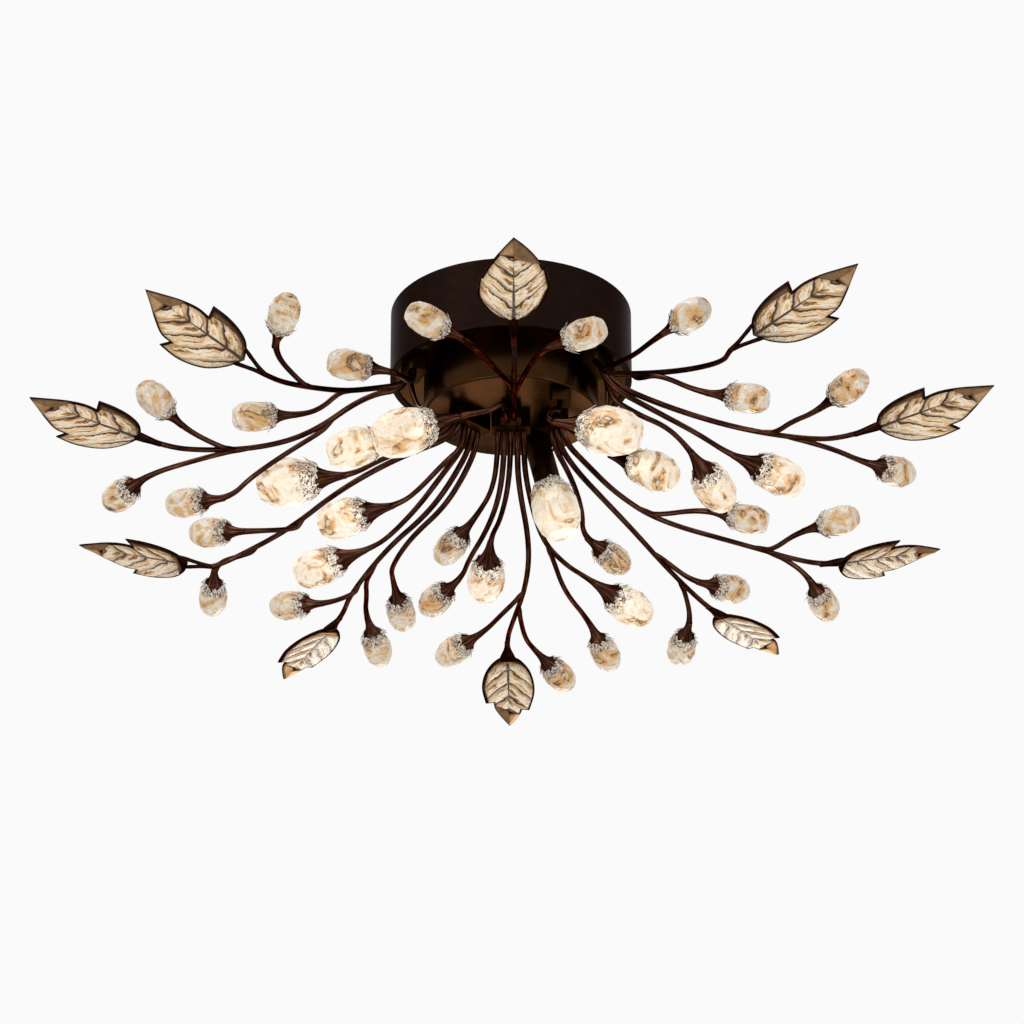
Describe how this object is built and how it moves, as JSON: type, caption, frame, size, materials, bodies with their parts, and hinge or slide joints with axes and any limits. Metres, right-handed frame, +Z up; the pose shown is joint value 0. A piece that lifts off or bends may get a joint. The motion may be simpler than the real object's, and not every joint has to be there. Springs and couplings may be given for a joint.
{
  "type": "flush mount ceiling light",
  "caption": "Crystal flush mount ceiling light: round bronze canopy and hub with bent rods that spread to framed crystal leaves and faceted crystal buds.",
  "frame": {"origin": "On the ceiling plane, on the centre line of the canopy.", "axes": "+Z points up into the ceiling. -Y is the side that faces the room in the picture and +X is to the right in it."},
  "size_m": [0.7594, 0.7933, 0.2022],
  "materials": {
    "canopy_metal": "satin dark bronze",
    "hub_metal": "glossy bronze",
    "rod_metal": "satin dark bronze",
    "bell_metal": "satin dark bronze",
    "leaf_metal": "satin dark bronze",
    "knob_metal": "satin dark bronze",
    "steel": "zinc plated",
    "earth_brass": "bright",
    "leaf_crystal": "pressed, champagne tint",
    "bud_crystal": "faceted, champagne tint",
    "lit_crystal": "faceted, champagne tint",
    "lamp_ceramic": "matt",
    "lamp_glow": "frosted",
    "grommet_rubber": "matt",
    "driver_plastic": "matt",
    "terminal_plastic": "matt",
    "lead_plastic": "matt"
  },
  "bodies": {
    "fixture": {"base_plate": "hub_metal", "bells_east": "bell_metal", "bells_north": "bell_metal", "bells_south": "bell_metal", "bells_southeast": "bell_metal", "bells_southwest": "bell_metal", "bells_west": "bell_metal", "block_screws": "steel", "canopy_shell": "canopy_metal", "driver_case": "driver_plastic", "earth_screw": "earth_brass", "grommet": "grommet_rubber", "hub_drum": "hub_metal", "hub_nuts": "steel", "hub_screws": "steel", "internal_leads": "lead_plastic", "lamp_holders": "lamp_ceramic", "lamp_sleeve": "rod_metal", "lamps": "lamp_glow", "leaf_10_crystal": "leaf_crystal", "leaf_10_frame": "leaf_metal", "leaf_1_crystal": "leaf_crystal", "leaf_1_frame": "leaf_metal", "leaf_2_crystal": "leaf_crystal", "leaf_2_frame": "leaf_metal", "leaf_3_crystal": "leaf_crystal", "leaf_3_frame": "leaf_metal", "leaf_4_crystal": "leaf_crystal", "leaf_4_frame": "leaf_metal", "leaf_5_crystal": "leaf_crystal", "leaf_5_frame": "leaf_metal", "leaf_6_crystal": "leaf_crystal", "leaf_6_frame": "leaf_metal", "leaf_7_crystal": "leaf_crystal", "leaf_7_frame": "leaf_metal", "leaf_8_crystal": "leaf_crystal", "leaf_8_frame": "leaf_metal", "leaf_9_crystal": "leaf_crystal", "leaf_9_frame": "leaf_metal", "lit_crystals": "lit_crystal", "mounting_bar": "steel", "short_screws": "steel", "small_crystals_east": "bud_crystal", "small_crystals_north": "bud_crystal", "small_crystals_south": "bud_crystal", "small_crystals_southeast": "bud_crystal", "small_crystals_southwest": "bud_crystal", "small_crystals_west": "bud_crystal", "stem_blocks": "rod_metal", "stems_east": "rod_metal", "stems_north": "rod_metal", "stems_south": "rod_metal", "stems_southeast": "rod_metal", "stems_southwest": "rod_metal", "stems_west": "rod_metal", "terminal_block": "terminal_plastic"},
    "front_screw": {"front_side_screw": "knob_metal"},
    "rear_screw": {"rear_side_screw": "knob_metal"}
  },
  "joints": [
    {"name": "front_screw_turn", "type": "hinge", "parent": "fixture", "child": "front_screw", "pos_m": [0, -0.1, -0.013], "axis": [0, -1, 0], "continuous": true},
    {"name": "rear_screw_turn", "type": "hinge", "parent": "fixture", "child": "rear_screw", "pos_m": [0, 0.1, -0.013], "axis": [0, 1, 0], "continuous": true}
  ]
}
